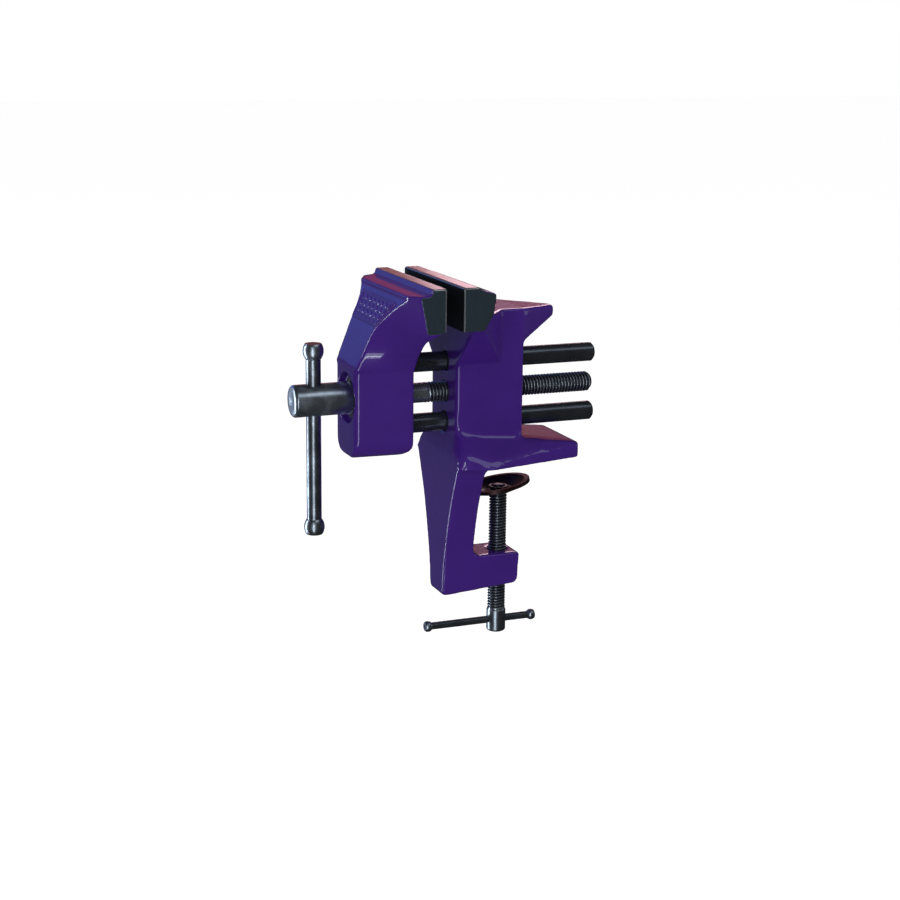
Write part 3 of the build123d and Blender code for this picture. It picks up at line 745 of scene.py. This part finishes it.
class VISE_OT_steel_parts(bpy.types.Operator):
    """Finishes for the parts whose CAD shape stays: rods, bars, knobs, washers, pins, nut and pad."""
    bl_idname = "vise.steel_parts"
    bl_label = "Steel parts"

    def execute(self, context):
        finishes = {}
        finishes["upper_guide_rod"] = finishes["lower_guide_rod"] = dark_finish("rod_steel", 0, 0.17)
        # The factors below make each bright steel part lighter or darker than the others: painted light and
        # shade.
        finishes["handle_bar"] = bright_finish("handle_bar_steel", 2, 0.9)
        knob = bright_finish("handle_knob_steel", 2, 1.25)
        finishes["handle_knob_upper"] = finishes["handle_knob_lower"] = knob
        finishes["clamp_handle_bar"] = dark_finish("clamp_bar_steel", 0, 0.28)
        knob = bright_finish("clamp_knob_steel", 0, 1.3)
        finishes["clamp_handle_knob_front"] = finishes["clamp_handle_knob_rear"] = knob
        washer_tints = (0.012, 0.013, 0.015), (0.03, 0.032, 0.036)
        washer = pressed_finish("washer_steel", washer_tints, 0.3)
        for node in ("thrust_washer", "retaining_washer", "pad_washer"):
            finishes[node] = washer
        pad_tints = (0.018, 0.008, 0.009), (0.040, 0.016, 0.016)
        finishes["clamp_pad"] = pressed_finish("pad_steel", pad_tints, 0.26)
        dark = dark_finish("pin_steel", 1, 0.3)
        for node in ("retaining_pin", "rod_pins", "nut_grub_screw"):
            finishes[node] = dark
        finishes["main_nut"] = bright_finish("nut_steel", 0, 0.7)
        for node, material in finishes.items():
            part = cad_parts[node]
            part.data.materials.clear()
            part.data.materials.append(material)
        return {"FINISHED"}


# Each lamp's name, place and size in millimetres, radiance, colour and kind: a matt lamp lights matt
# surfaces and is not mirrored, and a mirror lamp is only mirrored.
SOFT_LIGHTS = [
    ("key_box", (-420, -720, 300), (420, 420), 2.6, (1.0, 1.0, 1.0), "matt"),
    ("top_box", (-260, 260, 760), (360, 260), 3.0, (1.0, 0.98, 0.96), "matt"),
    ("edge_strip", (-640, 380, -90), (80, 860), 17.0, (0.80, 0.90, 1.0), "mirror"),
    ("bar_strip", (-370, -610, -60), (150, 900), 3.0, (0.88, 0.94, 1.0), "mirror"),
    ("line_strip", (-350, -620, -60), (24, 900), 9.0, (0.86, 0.93, 1.0), "mirror"),
    ("upper_right_strip", (190, -400, 560), (560, 200), 1.25, (0.85, 0.93, 1.0), "mirror"),
    ("far_blue_box", (-330, 800, 320), (460, 400), 0.50, (0.10, 0.27, 1.0), "mirror"),
    ("far_violet_box", (-330, 800, -240), (460, 700), 0.10, (0.30, 0.35, 1.0), "mirror"),
    ("back_red_box", (370, 800, 165), (560, 130), 0.20, (1.0, 0.08, 0.03), "mirror"),
    ("back_ledge_box", (187, 800, 320), (198, 150), 0.30, (1.0, 0.10, 0.20), "mirror"),
    ("back_pink_box", (416, 800, 330), (260, 150), 3.20, (1.0, 0.66, 0.74), "mirror"),
    ("right_box", (800, -160, 140), (160, 400), 0.8, (0.80, 0.90, 1.0), "mirror"),
]


class VISE_OT_stage(bpy.types.Operator):
    """Pale floor, soft lights and the camera."""
    bl_idname = "vise.stage"
    bl_label = "Stage"

    def execute(self, context):
        s = context.scene.vise_stage
        floor_z = cad_bounds[0][2] - s.floor_drop * MM
        half = 6.0
        mesh = bpy.data.meshes.new("floor")
        mesh.from_pydata([(-half, -half, floor_z), (half, -half, floor_z), (half, half, floor_z),
                          (-half, half, floor_z)], [], [(0, 1, 2, 3)])
        floor = bpy.data.objects.new("floor", mesh)
        f = Finish("pale_floor")
        tone = f.noise(400.0, 2.0)
        f.set(Base_Color=f.blend(tone, shade(s.floor, 0.985), tuple(s.floor)), Roughness=0.9)
        f.set(Emission_Color=(1.0, 1.0, 1.0, 1.0), Emission_Strength=s.floor_glow)
        mesh.materials.append(f.material)
        context.scene.collection.objects.link(floor)
        floor.visible_glossy = False
        floor.visible_diffuse = False
        floor.visible_shadow = False

        world = bpy.data.worlds.new("studio")
        world.use_nodes = True
        tree = world.node_tree
        path = tree.nodes.new("ShaderNodeLightPath")
        background = tree.nodes["Background"]
        background.inputs["Color"].default_value = (1.0, 1.0, 1.0, 1.0)
        seen = Value(tree, path.outputs["Is Camera Ray"]) * (1.0 - s.room_light)
        mirrored = Value(tree, path.outputs["Is Glossy Ray"]) * (s.room_mirror - s.room_light)
        tree.links.new((seen + s.room_light + mirrored).socket, background.inputs["Strength"])
        world.cycles.sampling_method = "NONE"
        context.scene.world = world

        target = Vector((-24.82, 0.0, 3.38)) * MM
        for name, place, size, radiance, tint, kind in SOFT_LIGHTS:
            data = bpy.data.lights.new(name, "AREA")
            data.shape = "RECTANGLE"
            data.size, data.size_y = (v * MM for v in size)
            data.energy = radiance * pi * data.size * data.size_y
            data.color = tint
            lamp = bpy.data.objects.new(name, data)
            lamp.location = Vector(place) * MM
            lamp.rotation_euler = (lamp.location - target).to_track_quat("Z", "Y").to_euler()
            lamp.visible_camera = False
            lamp.visible_diffuse = kind == "matt"
            lamp.visible_glossy = kind == "mirror"
            context.scene.collection.objects.link(lamp)

        a, e, r = s.camera_azimuth, s.camera_elevation, s.camera_roll
        back = Vector((sin(a) * cos(e), -cos(a) * cos(e), sin(e)))
        right = Vector((cos(a), sin(a), 0.0))
        up = back.cross(right)
        turned_right = right * cos(r) + up * sin(r)
        turned_up = up * cos(r) - right * sin(r)
        data = bpy.data.cameras.new("camera")
        data.lens = 72.0
        data.sensor_width = 36.0
        data.clip_end = 20.0
        camera = bpy.data.objects.new("camera", data)
        place = target + back * s.camera_distance * MM
        camera.matrix_world = Matrix((
            (turned_right.x, turned_up.x, back.x, place.x),
            (turned_right.y, turned_up.y, back.y, place.y),
            (turned_right.z, turned_up.z, back.z, place.z),
            (0, 0, 0, 1)))
        context.scene.collection.objects.link(camera)
        context.scene.camera = camera
        context.scene.view_settings.view_transform = "Standard"
        return {"FINISHED"}


class VISE_PT_sidebar(bpy.types.Panel):
    """Settings and steps of the vise."""
    bl_label = "Bench vise"
    bl_idname = "VISE_PT_sidebar"
    bl_space_type = "VIEW_3D"
    bl_region_type = "UI"
    bl_category = "Vise"

    def draw(self, context):
        for group in GROUPS:
            settings = getattr(context.scene, group)
            for key in settings.__annotations__:
                self.layout.prop(settings, key)
        for step in STEPS:
            self.layout.operator(step.bl_idname)


GROUPS = {"vise_casting": CastingSettings, "vise_panel": PanelSettings, "vise_steel": SteelSettings,
          "vise_stage": StageSettings}
STEPS = (VISE_OT_castings, VISE_OT_front_panel, VISE_OT_main_screw, VISE_OT_clamp_screw, VISE_OT_steel_parts,
         VISE_OT_stage)


def register():
    """Registers every class and hangs the settings on the scene."""
    for item in (*GROUPS.values(), *STEPS, VISE_PT_sidebar):
        bpy.utils.register_class(item)
    for name, group in GROUPS.items():
        setattr(bpy.types.Scene, name, bpy.props.PointerProperty(type=group))


def unregister():
    """Takes the settings off the scene and the classes out again."""
    for name in GROUPS:
        delattr(bpy.types.Scene, name)
    for item in (VISE_PT_sidebar, *reversed(STEPS), *reversed(list(GROUPS.values()))):
        bpy.utils.unregister_class(item)


def main():
    """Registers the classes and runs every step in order."""
    register()
    for step in STEPS:
        area, name = step.bl_idname.split(".")
        getattr(getattr(bpy.ops, area), name)()


if __name__ == "__main__":
    main()
